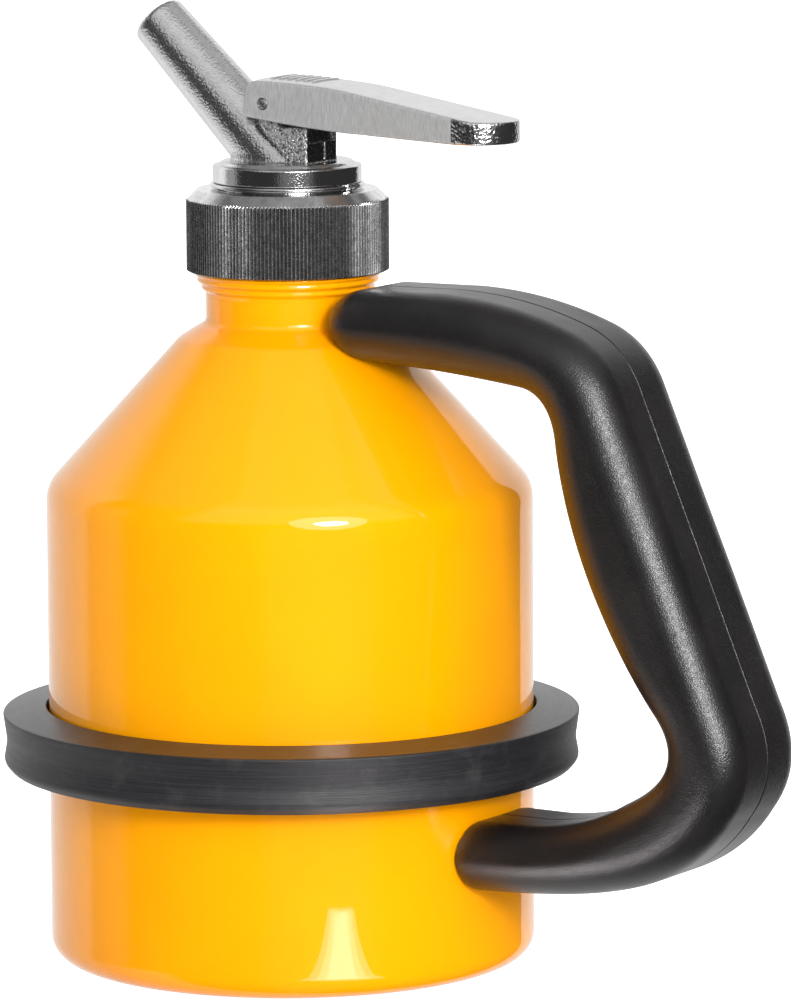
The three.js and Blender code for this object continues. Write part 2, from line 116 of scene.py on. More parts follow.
def rounded(outline, closed):
    """Outline of (a, b) or (a, b, radius) points with its corners turned into arcs.

    A point beside each arc holds the flat stretch flat, so smooth shading stays in the arc.
    """
    arc_step, nearly_straight = radians(11), radians(89.5)
    corners = [(np.array(p[:2], float), p[2] if len(p) > 2 else 0) for p in outline]
    count = len(corners)
    points = []
    for i, (corner, radius) in enumerate(corners):
        end = not closed and i in (0, count - 1)
        if end or radius <= 0:
            points.append(corner)
            continue
        before = corners[i - 1][0] - corner
        after = corners[(i + 1) % count][0] - corner
        reach_before, reach_after = np.linalg.norm(before), np.linalg.norm(after)
        before, after = before / reach_before, after / reach_after
        half = acos(np.clip(before @ after, -1, 1)) / 2
        if half > nearly_straight:
            points.append(corner)
            continue
        reach = min(reach_before, reach_after)
        cut = min(radius / tan(half), 0.45 * reach)
        radius = cut * tan(half)
        middle = before + after
        centre = corner + middle / np.linalg.norm(middle) * radius / sin(half)
        start, stop = corner + before * cut, corner + after * cut
        margin = min(0.35 * radius + 0.05, 0.04 * reach + 0.02)
        steps = max(2, ceil((pi - 2 * half) / arc_step))
        points.append(start + before * margin)
        first, last = start - centre, stop - centre
        turn = atan2(first[0] * last[1] - first[1] * last[0], first @ last)
        for k in range(steps + 1):
            c, s = cos(turn * k / steps), sin(turn * k / steps)
            points.append(centre + np.array((first[0] * c - first[1] * s, first[0] * s + first[1] * c)))
        points.append(stop + after * margin)
    return np.array(points)


def lathe(name, outline, sides=192, centre=(0, 0), shape=None, closed=None, crease=radians(35)):
    """Turned piece. Outline points are (radius, height[, corner radius]), anticlockwise.

    shape(radius, height, angle) returns the radius there, for knurls and threads.
    """
    if closed is None:
        closed = not (outline[0][0] == 0 and outline[-1][0] == 0)
    profile = rounded(outline, closed)
    angles = np.linspace(0, 2 * np.pi, sides, endpoint=False)
    points, rows = [], []
    for radius, height in profile:
        if radius < 1e-6:
            rows.append([len(points)] * sides)
            points.append((centre[0], centre[1], height))
            continue
        around = np.full(sides, radius) if shape is None else shape(radius, height, angles)
        rows.append(range(len(points), len(points) + sides))
        points.extend(
            (centre[0] + r * cos(a), centre[1] + r * sin(a), height)
            for r, a in zip(around, angles)
        )
    faces = []
    pairs = list(zip(rows, rows[1:])) + ([(rows[-1], rows[0])] if closed else [])
    for low, high in pairs:
        for i in range(sides):
            j = (i + 1) % sides
            face = [low[i], low[j], high[j], high[i]]
            unique = list(dict.fromkeys(face))
            if len(unique) > 2:
                faces.append(unique)
    return make_mesh(name, points, faces, crease)


def sweep(name, path, section):
    """Tube of a section of (across, up) points along an open path, with flat ends.

    The section's first direction stays square to the vertical, as on a ring or a level coil.
    """
    path, section = np.asarray(path, float), np.asarray(section, float)
    ahead = np.roll(path, -1, 0) - np.roll(path, 1, 0)
    ahead[0], ahead[-1] = path[1] - path[0], path[-1] - path[-2]
    ahead /= np.linalg.norm(ahead, axis=1)[:, None]
    across = np.cross(ahead, (0, 0, 1))
    across /= np.linalg.norm(across, axis=1)[:, None]
    upward = np.cross(across, ahead)
    points = path[:, None] + across[:, None] * section[None, :, :1]
    points = points + upward[:, None] * section[None, :, 1:]
    rings, size = points.shape[:2]
    faces = []
    for i in range(rings - 1):
        for k in range(size):
            a, b = i * size + k, i * size + (k + 1) % size
            faces.append((a, a + size, b + size, b))
    faces.append(tuple(range(size)))
    faces.append(tuple(reversed(range((rings - 1) * size, rings * size))))
    return make_mesh(name, points.reshape(-1, 3), faces)


def circle(radius, count):
    angles = np.linspace(0, 2 * np.pi, count, endpoint=False)
    return np.stack((radius * np.cos(angles), radius * np.sin(angles)), -1)


# Shapes that aren't turned are the zero level of a distance field

LINE_STEP = 0.7
NET_SETTLES = 4


def line(start, *legs):
    """Points along an outline: each leg is (end,) for a line or (control, end) for a curve."""
    points = [np.array(start, float)]
    for leg in legs:
        end = np.array(leg[-1], float)
        bend = np.array(leg[0], float) if len(leg) > 1 else (points[-1] + end) / 2
        begin = points[-1]
        count = max(2, int(np.linalg.norm(end - begin) / LINE_STEP))
        for t in np.linspace(0, 1, count + 1)[1:]:
            points.append(begin * (1 - t) ** 2 + bend * 2 * t * (1 - t) + end * t * t)
    return np.array(points)


def side_of(points, path):
    """Signed distance from 2D points to an open path, positive on its left."""
    flat = points.reshape(-1, 2)
    best = np.full(len(flat), 1e9)
    sign = np.ones(len(flat))
    for a, b in zip(path[:-1], path[1:]):
        along = b - a
        t = np.clip((flat - a) @ along / (along @ along), 0, 1)
        gap = flat - (a + t[:, None] * along)
        square = (gap * gap).sum(1)
        nearer = square < best - 1e-9
        cross = along[0] * (flat[:, 1] - a[1]) - along[1] * (flat[:, 0] - a[0])
        best = np.where(nearer, square, best)
        sign = np.where(nearer, np.where(cross > 0, 1.0, -1.0), sign)
    return (np.sqrt(best) * sign).reshape(points.shape[:-1])


class Chart:
    """Distance to a path, worked out once on a flat grid and then read between its points."""

    def __init__(self, path, low, high, step=0.4):
        self.low, self.step = np.array(low, float), step
        counts = [int((h - l) / step) + 2 for l, h in zip(low, high)]
        axes = [l + step * np.arange(n) for l, n in zip(low, counts)]
        self.values = side_of(np.stack(np.meshgrid(*axes, indexing="ij"), -1), path)

    def __call__(self, a, b):
        pair = (2, *[1] * np.ndim(a))
        limit = np.array(self.values.shape).reshape(pair) - 1.001
        u = (np.stack(np.broadcast_arrays(a, b)) - self.low.reshape(pair)) / self.step
        u = np.clip(u, 0, limit)
        i = u.astype(int)
        f = u - i
        v = self.values
        low = v[i[0], i[1]] * (1 - f[1]) + v[i[0], i[1] + 1] * f[1]
        high = v[i[0] + 1, i[1]] * (1 - f[1]) + v[i[0] + 1, i[1] + 1] * f[1]
        return low * (1 - f[0]) + high * f[0]


def meet(radius, *fields):
    """Where all fields are inside, with the edges between them rounded."""
    raised = [f + radius for f in fields]
    length = np.sqrt(sum(np.maximum(r, 0) ** 2 for r in raised))
    deepest = raised[0]
    for r in raised[1:]:
        deepest = np.maximum(deepest, r)
    return np.minimum(deepest, 0) + length - radius


def join(radius, a, b):
    """Union of two fields, with a fillet between them."""
    return -meet(radius, -a, -b)


def box_field(p, low, high, radius):
    centre, half = (np.array(low) + high) / 2, (np.array(high) - low) / 2
    return meet(radius, *[np.abs(p[..., k] - centre[k]) - half[k] for k in range(3)])


def surface_net(field, low, high, step):
    """Points and faces of the closed surface where field(p) is zero, p[..., 0:3] being x, y, z."""
    axes = [l + step * np.arange(int((h - l) / step) + 2) for l, h in zip(low, high)]
    grid = np.stack(np.meshgrid(*axes, indexing="ij"), -1)
    value = field(grid)
    cells = np.array(value.shape) - 1
    total, count = np.zeros((*cells, 3)), np.zeros(cells)
    crossings = []
    for axis in range(3):
        lower = [slice(None)] * 3
        upper = [slice(None)] * 3
        lower[axis], upper[axis] = slice(0, -1), slice(1, None)
        a, b = value[tuple(lower)], value[tuple(upper)]
        crossed = (a < 0) != (b < 0)
        share = np.where(crossed, a / np.where(crossed, a - b, 1), 0)
        place = grid[tuple(lower)].copy()
        place[..., axis] += share * step
        crossings.append((crossed, a < 0))
        others = [k for k in range(3) if k != axis]
        for da in (0, 1):
            for db in (0, 1):
                window = [slice(None)] * 3
                window[others[0]] = slice(da, da + cells[others[0]])
                window[others[1]] = slice(db, db + cells[others[1]])
                hit = crossed[tuple(window)]
                total += place[tuple(window)] * hit[..., None]
                count += hit
    used = count > 0
    number = np.full(cells, -1)
    number[used] = np.arange(used.sum())
    points = total[used] / count[used][:, None]
    faces = []
    for axis, (crossed, starts_inside) in enumerate(crossings):
        b, c = (axis + 1) % 3, (axis + 2) % 3
        where = np.argwhere(crossed)
        beside = where[:, [b, c]]
        where = where[((beside > 0) & (beside < cells[[b, c]])).all(1)]
        flip = starts_inside[tuple(where.T)]
        ring = []
        for db, dc in ((1, 1), (0, 1), (0, 0), (1, 0)):
            cell = where.copy()
            cell[:, b] -= db
            cell[:, c] -= dc
            ring.append(number[tuple(cell.T)])
        quads = np.stack(ring, -1)
        faces.append(np.where(flip[:, None], quads, quads[:, ::-1]))
    faces = np.concatenate(faces)
    for _ in range(NET_SETTLES):
        points = settle(field, points, step)
    return points, faces


def slope_of(field, points, reach=0.05):
    steps = np.eye(3) * reach
    return np.stack([field(points + s) - field(points - s) for s in steps], -1) / (2 * reach)


def settle(field, points, step):
    """Moves points onto the surface, at most half a cell at a time."""
    slope = slope_of(field, points)
    steep = np.maximum((slope * slope).sum(1), 0.05)
    move = -field(points)[:, None] * slope / steep[:, None]
    length = np.linalg.norm(move, axis=1)[:, None]
    return points + move * np.minimum(1, 0.5 * step / np.maximum(length, 1e-9))


# ---- Materials

# The spout's axis and foot, which one material follows too
SPOUT_START = np.array((0.0, 0.0, 173.7))
SPOUT_AXIS = np.array((-0.723, 0.0, 0.691))
SPOUT_LENGTH = 46.9
SPOUT_BASE_R = 7.8


def grey(level):
    return (level, level, level, 1)


def dimmed(colour, share):
    return tuple(share * c for c in colour[:3]) + (1,)


def add_node(tree, kind, inputs=None, **settings):
    """New shader node. Each input is a value, or the output of another node to link from."""
    node = tree.nodes.new(kind)
    for key, value in settings.items():
        setattr(node, key, value)
    for key, value in (inputs or {}).items():
        if isinstance(value, bpy.types.NodeSocket):
            tree.links.new(value, node.inputs[key])
        else:
            node.inputs[key].default_value = value
    return node


class Shader:
    """A material whose nodes are added one call at a time. Lengths in it are millimetres."""

    def __init__(self, name, **settings):
        self.material = bpy.data.materials.new(name)
        self.material.use_nodes = True
        self.tree = self.material.node_tree
        self.surface = self.tree.nodes["Principled BSDF"]
        for key, value in settings.items():
            self.surface.inputs[key.replace("_", " ")].default_value = value
        place = self.add("ShaderNodeTexCoord").outputs["Object"]
        inputs = {0: place, 3: 1 / MM}
        self.place = self.add("ShaderNodeVectorMath", inputs, operation="SCALE").outputs[0]

    def add(self, kind, inputs=None, **settings):
        return add_node(self.tree, kind, inputs, **settings)

    def math(self, operation, a, b=0.0):
        return self.add("ShaderNodeMath", {0: a, 1: b}, operation=operation).outputs[0]

    def vector(self, operation, *values, output=0):
        inputs = dict(enumerate(values))
        return self.add("ShaderNodeVectorMath", inputs, operation=operation).outputs[output]

    def stretched(self, x, y, z):
        return self.vector("MULTIPLY", self.place, (x, y, z))

    def split(self, value):
        return self.add("ShaderNodeSeparateXYZ", {0: value}).outputs

    def round_the_axis(self, around, outward, upward):
        """Coordinates that follow the can's axis: angle, radius and height, each stretched."""
        x, y, z = self.split(self.place)
        squares = self.math("MULTIPLY", x, x), self.math("MULTIPLY", y, y)
        radius = self.math("SQRT", self.math("ADD", *squares))
        inputs = {
            0: self.math("MULTIPLY", self.math("ARCTAN2", y, x), around),
            1: self.math("MULTIPLY", radius, outward),
            2: self.math("MULTIPLY", z, upward),
        }
        return self.add("ShaderNodeCombineXYZ", inputs).outputs[0]

    def noise(self, scale, detail=3.0, roughness=0.5, place=None, output="Fac"):
        inputs = {
            "Vector": place or self.place, "Scale": scale, "Detail": detail, "Roughness": roughness,
        }
        return self.add("ShaderNodeTexNoise", inputs).outputs[output]

    def cells(self, scale, place):
        inputs = {"Vector": place, "Scale": scale}
        return self.add("ShaderNodeTexVoronoi", inputs, feature="DISTANCE_TO_EDGE").outputs["Distance"]

    def remap(self, value, low, high, to_low, to_high):
        inputs = {0: value, 1: low, 2: high, 3: to_low, 4: to_high}
        return self.add("ShaderNodeMapRange", inputs).outputs[0]

    def spread(self, pattern, to_low, to_high):
        """A noise pattern's middle stretch, remapped."""
        return self.remap(pattern, 0.3, 0.7, to_low, to_high)

    def mix(self, share, a, b):
        inputs = {0: share, 6: a, 7: b}
        return self.add("ShaderNodeMix", inputs, data_type="RGBA").outputs[2]

    def two_tone(self, pattern, low, high, a, b):
        """Colour a where the pattern is below low, b above high, and a blend between."""
        return self.mix(self.remap(pattern, low, high, 0, 1), a, b)

    def bump(self, height, depth_mm, strength=1.0, under=None):
        inputs = {"Height": height, "Distance": depth_mm * MM, "Strength": strength}
        if under is not None:
            inputs["Normal"] = under
        return self.add("ShaderNodeBump", inputs).outputs[0]

    def drive(self, socket, value):
        self.tree.links.new(value, self.surface.inputs[socket])


def paint_material():
    """Glossy enamel with faint orange peel and a little unevenness in its depth of colour."""
    coat = {"Coat_Weight": 1.0, "Coat_Roughness": 0.03, "Coat_IOR": 1.5}
    s = Shader("yellow_enamel", Specular_IOR_Level=0.02, **coat)
    thin, thick = (0.98, 0.352, 0.0, 1), (1.0, 0.383, 0.0, 1)
    s.drive("Base Color", s.two_tone(s.noise(0.03), 0.3, 0.7, thin, thick))
    s.drive("Roughness", s.spread(s.noise(0.2), 0.32, 0.42))
    peel = s.bump(s.noise(0.35, 2.0), 0.02, 0.35)
    s.drive("Normal", peel)
    s.drive("Coat Normal", peel)
    return s.material


def rubber_material():
    """Extruded rubber: fine lines run round the ring, with scuffs and dust across them.

    Where the ring faces up it is rubbed smoother.
    """
    s = Shader("ring_rubber")
    streaks = s.noise(1.0, 4.0, 0.6, s.round_the_axis(3.0, 4.0, 4.0))
    fine = s.noise(1.0, 3.0, 0.6, s.round_the_axis(9.0, 14.0, 14.0))
    scuffs = s.remap(s.noise(0.16, 5.0, 0.65), 0.52, 0.75, 0, 1)
    tone = s.two_tone(streaks, 0.35, 0.7, (0.010, 0.010, 0.012, 1), (0.024, 0.024, 0.027, 1))
    s.drive("Base Color", s.mix(s.math("MULTIPLY", scuffs, 0.35), tone, (0.07, 0.068, 0.067, 1)))
    facing_up = s.split(s.add("ShaderNodeTexCoord").outputs["Normal"])[2]
    relief_left = s.remap(facing_up, 0.6, 0.9, 1, 0.25)
    roughness_left = s.remap(facing_up, 0.6, 0.9, 1, 0.7)
    s.drive("Roughness", s.math("MULTIPLY", s.spread(fine, 0.4, 0.56), roughness_left))
    relief = s.bump(s.math("MULTIPLY", streaks, relief_left), 0.12, 0.6)
    s.drive("Normal", s.bump(s.math("MULTIPLY", fine, relief_left), 0.05, 0.5, relief))
    return s.material


def handle_material():
    """Moulded plastic with a fine leather grain, rubbed a little smoother in places."""
    s = Shader("handle_plastic", Specular_IOR_Level=0.72)
    warp = s.noise(0.9, 2.0, output="Color")
    swirl = s.vector("MULTIPLY_ADD", warp, (0.8, 0.8, 0.8), s.place)
    grain = s.remap(s.cells(2.1, swirl), 0.0, 0.28, 0, 1)
    fine = s.noise(3.5, 3.0, 0.6)
    dark, pale = (0.007, 0.0062, 0.0065, 1), (0.0115, 0.0098, 0.0104, 1)
    s.drive("Base Color", s.two_tone(s.noise(0.08, 4.0), 0.35, 0.7, dark, pale))
    s.drive("Roughness", s.spread(s.noise(0.12, 4.0), 0.30, 0.36))
    s.drive("Normal", s.bump(fine, 0.024, 0.45, s.bump(grain, 0.039, 0.55)))
    return s.material


def cast_material(name, colour, rough, peen, peen_size, metallic=1.0, pits=0.0, crease=0.0):
    """Plated die casting: polished by tumbling, so it is bright with shallow soft dents.

    pits sets how far the small hollows of an unpolished face darken it, and crease how far the
    painted shade along the spout's foot darkens it.
    """
    s = Shader(name, Metallic=metallic, Specular_Tint=grey(0.8))
    tone = s.two_tone(s.noise(0.35, 4.0, 0.6), 0.4, 0.75, colour, dimmed(colour, 0.9))
    dents = s.noise(1 / peen_size, 1.2, 0.5)
    if pits:
        tone = s.mix(s.remap(dents, 0.36, 0.5, pits, 0), tone, grey(0.02))
    # Painted shade: the casting is darker along the crease where the spout meets the block.
    if crease:
        across = s.vector("CROSS_PRODUCT", s.vector("SUBTRACT", s.place, SPOUT_START), SPOUT_AXIS)
        off = s.vector("LENGTH", across, output="Value")
        crease_shade = s.remap(off, SPOUT_BASE_R + 0.05, SPOUT_BASE_R + 0.5, crease, 0)
        tone = s.mix(crease_shade, tone, grey(0.01))
    s.drive("Base Color", tone)
    s.drive("Roughness", s.spread(s.noise(0.9), rough * 0.85, rough * 1.15))
    s.drive("Normal", s.bump(dents, peen))
    return s.material


def ground_material():
    """Belt-ground sides of the lever: fine upright scratches over the plating."""
    s = Shader("ground_plating", Metallic=0.55)
    scratches = s.noise(1.0, 4.0, 0.7, s.stretched(4.5, 0.8, 0.4))
    faint = s.noise(1.0, 2.0, 0.5, s.stretched(1.6, 0.6, 0.12))
    s.drive("Base Color", s.two_tone(scratches, 0.38, 0.66, grey(0.46), grey(0.65)))
    s.drive("Roughness", s.spread(faint, 0.36, 0.5))
    s.drive("Normal", s.bump(scratches, 0.08, 0.8, s.bump(s.noise(1.2), 0.06, 0.5)))
    return s.material


def turned_material(name, colour, rough):
    """Metal turned on a lathe: rings of tool marks round the can's axis."""
    s = Shader(name, Metallic=1.0)
    marks = s.noise(1.0, 4.0, 0.65, s.round_the_axis(0.6, 9.0, 9.0))
    s.drive("Base Color", s.two_tone(s.noise(0.5, 4.0, 0.6), 0.4, 0.75, colour, dimmed(colour, 0.72)))
    s.drive("Roughness", s.spread(marks, rough * 0.75, rough * 1.3))
    s.drive("Normal", s.bump(marks, 0.012, 0.8))
    return s.material


def nickel_material():
    """Dull nickel of the knurl, stained unevenly, with a painted highlight on the tips of its teeth."""
    s = Shader("nut_nickel", Metallic=0.9)
    radius = s.split(s.round_the_axis(0.0, 1.0, 0.0))[1]
    stain = s.remap(s.noise(0.7, 5.0, 0.65), 0.35, 0.7, 0, 1)
    dull = s.mix(stain, (0.20, 0.20, 0.202, 1), (0.12, 0.12, 0.122, 1))
    # The tips of the teeth are painted lighter: a painted highlight along the crests, fainter where
    # stained.
    tips = s.remap(radius, NUT_R - 0.13, NUT_R - 0.03, 0, 1)
    tip_highlight = s.math("MULTIPLY", tips, s.remap(stain, 0.2, 1, 1, 0.3))
    s.drive("Base Color", s.mix(tip_highlight, dull, grey(0.72)))
    s.drive("Roughness", s.spread(s.noise(2.0), 0.2, 0.32))
    s.drive("Normal", s.bump(s.noise(1.2, 2.0), 0.01, 0.5))
    return s.material


def plain_material(name, colour, rough, metallic=0.0):
    """Everyday finish with a fine grain in its colour, gloss and relief."""
    s = Shader(name, Metallic=metallic)
    s.drive("Base Color", s.two_tone(s.noise(1.5, 3.0, 0.6), 0.35, 0.75, colour, dimmed(colour, 0.8)))
    s.drive("Roughness", s.spread(s.noise(0.75, 2.0), rough * 0.85, rough * 1.2))
    s.drive("Normal", s.bump(s.noise(3.0, 2.0), 0.02, 0.5))
    return s.material


def gauze_material():
    """Woven brass gauze: wires over and under each other round the arrester."""
    s = Shader("woven_gauze", Metallic=1.0, Roughness=0.42)
    around, _, upward = s.split(s.round_the_axis(12.0, 0.0, 1.0))
    pitch = 2 * pi / 0.55
    waves = [s.math("SINE", s.math("MULTIPLY", way, pitch)) for way in (around, upward)]
    weave = s.math("MULTIPLY", *waves)
    s.drive("Base Color", s.two_tone(weave, -1, 1, (0.12, 0.09, 0.04, 1), (0.55, 0.43, 0.22, 1)))
    s.drive("Normal", s.bump(weave, 0.12, 0.9))
    return s.material


MATERIALS = {
    "paint": paint_material(),
    "rubber": rubber_material(),
    "plastic": handle_material(),
    "spout": cast_material("polished_casting", grey(0.74), 0.13, 0.12, 0.54, 0.97),
    "block": cast_material("rough_casting", grey(0.56), 0.32, 0.5, 0.45, 0.7, 0.85, crease=0.9),
    # A darker copy of the casting for the block's end face and the back of its pocket: painted shade.
    "end_shade": cast_material("end_face_painted_shade", grey(0.20), 0.26, 0.2, 0.8),
    "crown": cast_material("lever_top", grey(0.87), 0.34, 0.04, 0.8, 0.8),
    "rim": cast_material("lever_rim", grey(0.80), 0.16, 0.19, 0.6),
    "ground": ground_material(),
    "chrome": cast_material("polished_disc", grey(0.78), 0.08, 0.045, 0.4),
    "nickel": nickel_material(),
    "bright": turned_material("nut_chamfer", grey(0.74), 0.2),
    "plated": plain_material("ring_plating", (0.74, 0.74, 0.75, 1), 0.2, 1.0),
    "steel": plain_material("plain_steel", (0.50, 0.50, 0.51, 1), 0.36, 1.0),
    "perforated": plain_material("arrester_steel", (0.55, 0.55, 0.56, 1), 0.38, 1.0),
    "gauze": gauze_material(),
    "white": plain_material("white_seal", (0.80, 0.80, 0.76, 1), 0.45),
    "black": plain_material("black_seal", grey(0.02), 0.55),
}


def dress(piece, material, body, slot, *nodes):
    """Gives a finished piece its material and its body, and hides the CAD nodes it stands for. The slot
    is not used.
    """
    if material is not None:
        piece.data.materials.append(MATERIALS[material])
    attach(piece, body)
    if nodes:
        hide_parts(*nodes)
    return piece


def repaint(node, material):
    """A CAD node whose shape is right keeps it and gets a better material."""
    for slot in NODES[node].material_slots:
        slot.material = MATERIALS[material]


def share_out(piece, materials, choose):
    """Several materials on one piece: choose(centres in millimetres, normals) numbers each face's."""
    for material in materials:
        piece.data.materials.append(MATERIALS[material])
    faces = piece.data.polygons
    centres = np.array([f.center for f in faces]) / MM
    normals = np.array([f.normal for f in faces])
    faces.foreach_set("material_index", choose(centres, normals).astype(np.int32))


# ---- Can body

BODY_R = span("upper_shell")[1][0]
WALL = 1.0
BASE_CORNER_R = 5.0
CONE_CORNER_Z = 104.96
CONE_SLOPE = 0.909
CONE_TOP_Z = 136.8
NECK_R = 18.05
LAP_Z = span("upper_shell")[0][2]
NECK_TOP_Z = span("upper_shell")[1][2]
COLLAR_TOP_Z = span("neck_collar")[1][2]
COLLAR_BORE_R = 15.0
THREAD_PITCH = 1.5


def cone_radius(z):
    return BODY_R - CONE_SLOPE * (z - CONE_CORNER_Z)


def upper_shell():
    bend_z, neck_bottom = CONE_TOP_Z + 0.6, 141.0
    outside = [
        (BODY_R, LAP_Z, 0.3), (BODY_R, CONE_CORNER_Z, 8.0), (cone_radius(bend_z), bend_z, 4.5),
        (20.0, 139.9, 2.6), (NECK_R, neck_bottom, 2.2), (NECK_R, NECK_TOP_Z, 0.1),
    ]
    lean_drop = 0.5     # lowers the inner corners of the cone, so that its wall keeps its thickness
    inside = [
        (r - WALL, z - (lean_drop if 100 < z < 140 else 0), corner)
        for r, z, corner in reversed(outside)
    ]
    return lathe("can_upper_shell", outside + inside, 256)


def lower_shell():
    lap_r = BODY_R - WALL - 0.2
    lap_top = span("lower_shell")[1][2]
    groove_in, groove_out, groove = 36, 42, 0.8
    outside = [
        (0, 0), (groove_in, 0, 0.6), (groove_in + 1, groove, 0.6), (groove_out - 1, groove, 0.6),
        (groove_out, 0, 0.6), (BODY_R, 0, BASE_CORNER_R), (BODY_R, LAP_Z - 1.2, 0.5),
        (lap_r, LAP_Z - 0.3, 0.5), (lap_r, lap_top, 0.2),
    ]
    inside = [
        (lap_r - WALL, lap_top, 0.2), (lap_r - WALL, LAP_Z - 1.2, 0.5),
        (BODY_R - WALL, LAP_Z - 2.4, 0.5), (BODY_R - WALL, WALL, BASE_CORNER_R - WALL),
        (groove_out + 0.4, WALL, 0.6), (groove_out - 0.6, WALL + groove, 0.6),
        (groove_in + 0.6, WALL + groove, 0.6), (groove_in - 0.4, WALL, 0.6), (0, WALL),
    ]
    return lathe("can_lower_shell", outside + inside, 256)


def thread(minor, major, bottom, top):
    """Radius function of a 60 degree thread between two heights that fades out at its ends."""
    flank, fade_length = 0.5, 1.0

    def radius(base, height, angles):
        if not bottom < height < top:
            return np.full(len(angles), base)
        turn = height / THREAD_PITCH - angles / (2 * np.pi)
        wave = 1 - 2 * np.abs(turn - np.floor(turn) - 0.5)
        crest = np.clip((wave - 0.5) / flank + 0.5, 0, 1)
        fade = min(1, (height - bottom) / fade_length, (top - height) / fade_length)
        return minor + (major - minor) * (crest * fade)

    return radius


def neck_collar():
    spigot_r = NECK_R - WALL - 0.1
    beads = [
        (18.2, 147.6, 0.8), (19.05, 148.35, 0.55), (18.95, 149.25, 0.4), (20.0, 149.95, 0.5),
        (19.85, 150.85, 0.35), (20.5, 151.45, 0.4), (20.2, 152.0, 0.2),
    ]
    minor = 18.9
    thread_bottom, thread_top = 152.3, COLLAR_TOP_Z - 0.3
    rows = np.arange(thread_bottom, thread_top, THREAD_PITCH / 10)
    spigot = [
        (COLLAR_BORE_R, NECK_TOP_Z - 4, 0.3), (spigot_r, NECK_TOP_Z - 4, 0.2),
        (spigot_r, NECK_TOP_Z + 0.1), (NECK_R - 0.1, NECK_TOP_Z + 0.1),
        (NECK_R - 0.02, NECK_TOP_Z - 0.02), (NECK_R + 0.04, NECK_TOP_Z - 0.3),
    ]
    mouth = [(minor, COLLAR_TOP_Z, 0.4), (COLLAR_BORE_R, COLLAR_TOP_Z, 0.4)]
    outline = spigot + beads + [(minor, z) for z in rows] + mouth
    cut = thread(minor, 19.7, thread_bottom, thread_top)

    def shape(base, height, angles):
        threaded = abs(base - minor) < 1e-6
        return cut(base, height, angles) if threaded else np.full(len(angles), base)

    return lathe("neck_collar_threaded", outline, 256, shape=shape)


def bumper_ring():
    low, high = span("bumper_ring")
    outer, bottom, lip_z = high[0], low[2], high[2]
    inner, top = 53.85, 54.6
    middle = (bottom + top) / 2
    outline = [
        (inner, bottom + 0.3, 0.5), (outer - 1.6, bottom, 1.2), (outer, bottom + 1.8, 1.6),
        (outer - 0.75, middle, 6.0), (outer + 0.15, top + 0.25, 0.5), (outer - 1.2, top + 0.45, 0.6),
        (54.9, lip_z - 0.1, 0.5), (54.2, lip_z, 0.25), (inner, lip_z - 1.0, 0.5),
    ]
    return lathe("bumper_ring_rubber", outline, 256)


# ---- Handle

HANDLE_HALF_Y = 16.5
UPPER_FOOT_X = 17.0        # here the upper arm ends at the can
LOWER_FOOT_X = 47.2        # and here the lower arm
ARMS_MEET_Z = 90           # height of the grip's middle, between the arms
FOOT_FADE = 26             # each arm's rounding changes over this length from its foot
SEAM_HALF_GAP = 0.08
SEAM_DEPTH = 0.3
SEAM_EASE = ((0.14, 0.04), (0.04, 0.13), (0.0, 0.3))     # steps of the seam's edge: height left, inset


def handle_charts():
    outer = line(
        (0, 149.6), ((44, 150.2),), ((61, 149.9), (76.4, 144.1)), ((85.4, 140.5), (89.2, 131.0)),
        ((117.1, 65.3),), ((123.8, 52.0), (115.8, 41.4)), ((107.4, 28.2), (88.0, 24.2)),
        ((74.0, 21.0), (44.0, 20.8)), ((30, 20.8),),
    )
    inner = line(
        (30, 36.2), ((66.0, 36.2),), ((80.0, 36.9), (90.6, 43.4)), ((107.4, 51.8), (98.5, 63.0)),
        ((90.5, 73.2), (83.9, 87.0)), ((75.8, 104.0), (73.8, 119.6)), ((72.8, 129.6), (65.2, 131.0)),
        ((46.0, 133.7), (14.0, 135.2)), ((0, 135.6),),
    )
    low, high = (8, 14), (128, 156)
    can = line(
        (BODY_R, -10), ((BODY_R, CONE_CORNER_Z - 1.5),),
        ((BODY_R, CONE_CORNER_Z), (BODY_R - 1, CONE_CORNER_Z + 1.1)),
        ((cone_radius(CONE_TOP_Z), CONE_TOP_Z),), ((20.2, 139.5), (NECK_R, 141.5)),
        ((NECK_R, 146.4),), ((20.9, 149.3),), ((20.9, 170),),
    )
    return Chart(outer, low, high), Chart(inner, low, high), Chart(can, (0, 14), (64, 156))


def handle_field():
    """Handle between its two outlines, rounder outside than inside, with its feet cut to the can."""
    outer, inner, can = handle_charts()

    def field(p):
        x, y, z = p[..., 0], p[..., 1], p[..., 2]
        above, below = outer(x, z), inner(x, z)
        depth = np.clip(below / np.minimum(above + below, -0.01), 0, 1)
        inward = 1 - depth * depth * (3 - 2 * depth)
        radius = 8.0 + 0.6 * inward
        upper_half = z > ARMS_MEET_Z
        upper = np.clip((z - ARMS_MEET_Z) / 20, 0, 1)
        near = np.clip(1 - (x - np.where(upper_half, 17.8, 47.5)) / FOOT_FADE, 0, 1)
        radius = radius + near * (8.3 - radius) + upper * (1 - near) * 0.5
        end = np.where(upper_half, UPPER_FOOT_X, LOWER_FOOT_X) - x
        solid = meet(radius, above, below, np.abs(y) - HANDLE_HALF_Y, end)
        clear = 0.3 + can(np.hypot(x, y), z)
        return meet(0.4, solid, clear)

    return field


